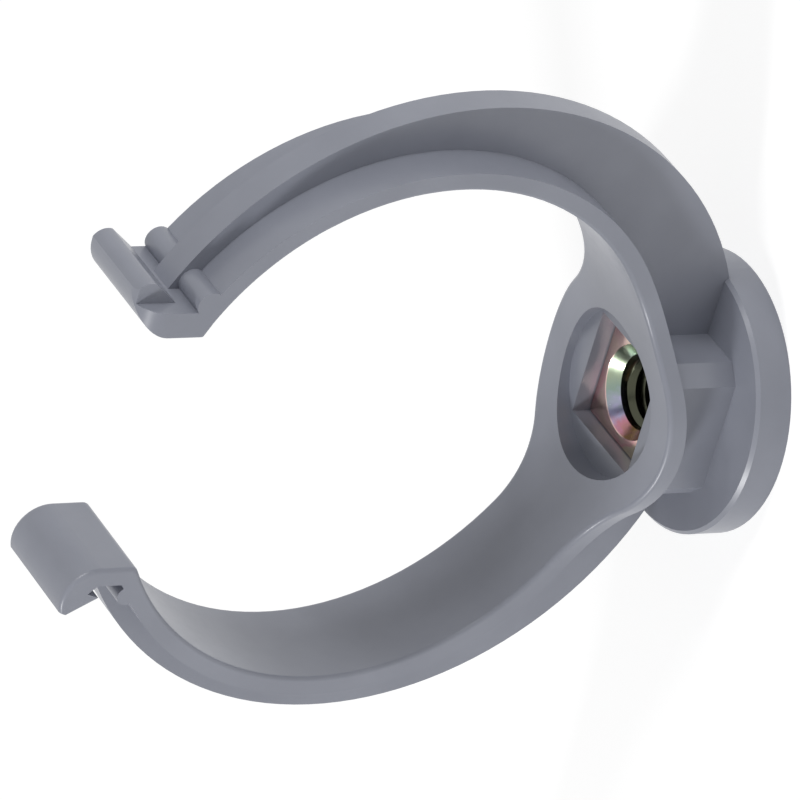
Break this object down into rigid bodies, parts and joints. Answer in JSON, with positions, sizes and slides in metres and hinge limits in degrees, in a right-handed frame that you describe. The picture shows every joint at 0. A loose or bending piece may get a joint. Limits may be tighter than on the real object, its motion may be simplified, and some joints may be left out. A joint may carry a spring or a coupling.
{
  "type": "snap pipe clip",
  "caption": "Open moulded plastic pipe clip: ribbed spring arms on a round wall base, with a captive square nut for a stud.",
  "frame": {"origin": "centre of the round base's back face, where it meets the wall", "axes": "+Z out of the wall along the stud, +Y along the pipe, +X towards the arm with the nosed tip"},
  "size_m": [0.0776, 0.032, 0.0804],
  "materials": {
    "grey_plastic": "moulded grey thermoplastic, smooth, semi-gloss",
    "passivated_zinc": "steel with iridescent yellow zinc passivation"
  },
  "bodies": {
    "root": {"clip_body": "grey_plastic", "square_nut": "passivated_zinc"}
  },
  "joints": []
}
